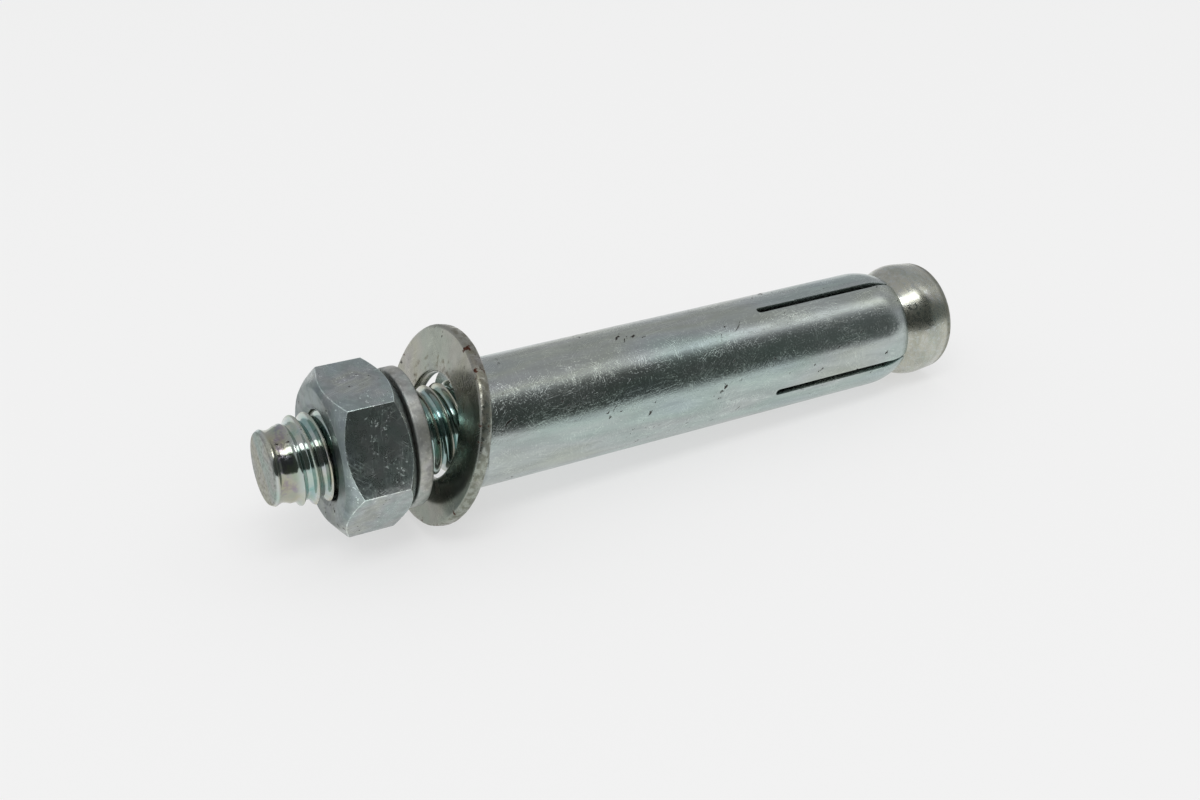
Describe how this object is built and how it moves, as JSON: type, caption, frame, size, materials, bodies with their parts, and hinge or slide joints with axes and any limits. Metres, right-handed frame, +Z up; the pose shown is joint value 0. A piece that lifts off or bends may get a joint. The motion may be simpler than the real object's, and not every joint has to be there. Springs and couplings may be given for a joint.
{
  "type": "sleeve expansion anchor bolt",
  "caption": "Zinc-plated sleeve anchor bolt lying on its side: coned stud, slotted expansion sleeve, flat washer, spring washer and hexagon nut.",
  "frame": {"origin": "centre of the bounding box's base, on the table under the bolt", "axes": "+X along the bolt from its threaded tip to its cone, +Z up; the stud's axis dips 2.9 degrees towards +X because the washer is taller than the cone"},
  "size_m": [0.0868, 0.0218, 0.021],
  "materials": {
    "stud": "bright zinc plate",
    "expansion_sleeve": "satin zinc plate, scratched",
    "flat_washer": "punched zinc plate, rust spots on the rim",
    "spring_washer": "matt zinc plate",
    "hex_nut": "zinc plate over forged faces"
  },
  "bodies": {
    "stud": {"stud": "stud"},
    "expansion_sleeve": {"expansion_sleeve": "expansion_sleeve"},
    "flat_washer": {"flat_washer": "flat_washer"},
    "spring_washer": {"spring_washer": "spring_washer"},
    "hex_nut": {"hex_nut": "hex_nut"}
  },
  "joints": [
    {"name": "nut_travel", "type": "slide", "parent": "stud", "child": "spring_washer", "axis": [0.9988, 0, -0.0499], "range_m": [-0.0105, 0.00075]},
    {"name": "nut_spin", "type": "hinge", "parent": "spring_washer", "child": "hex_nut", "pos_m": [-0.03318, 0, 0.0106], "axis": [0.9988, 0, -0.0499], "range_deg": [-2520, 180]},
    {"name": "sleeve_turn", "type": "hinge", "parent": "stud", "child": "expansion_sleeve", "pos_m": [0.03643, 0, 0.00712], "axis": [0.9992, 0, -0.0403], "continuous": true},
    {"name": "washer_tip", "type": "hinge", "parent": "stud", "child": "flat_washer", "pos_m": [-0.02367, 0, 0.01049], "axis": [0, -1, 0], "range_deg": [0, 15]}
  ],
  "couplings": [
    {"joint": "nut_travel", "follows": "nut_spin", "m_per_rad": 0.00023873}
  ]
}
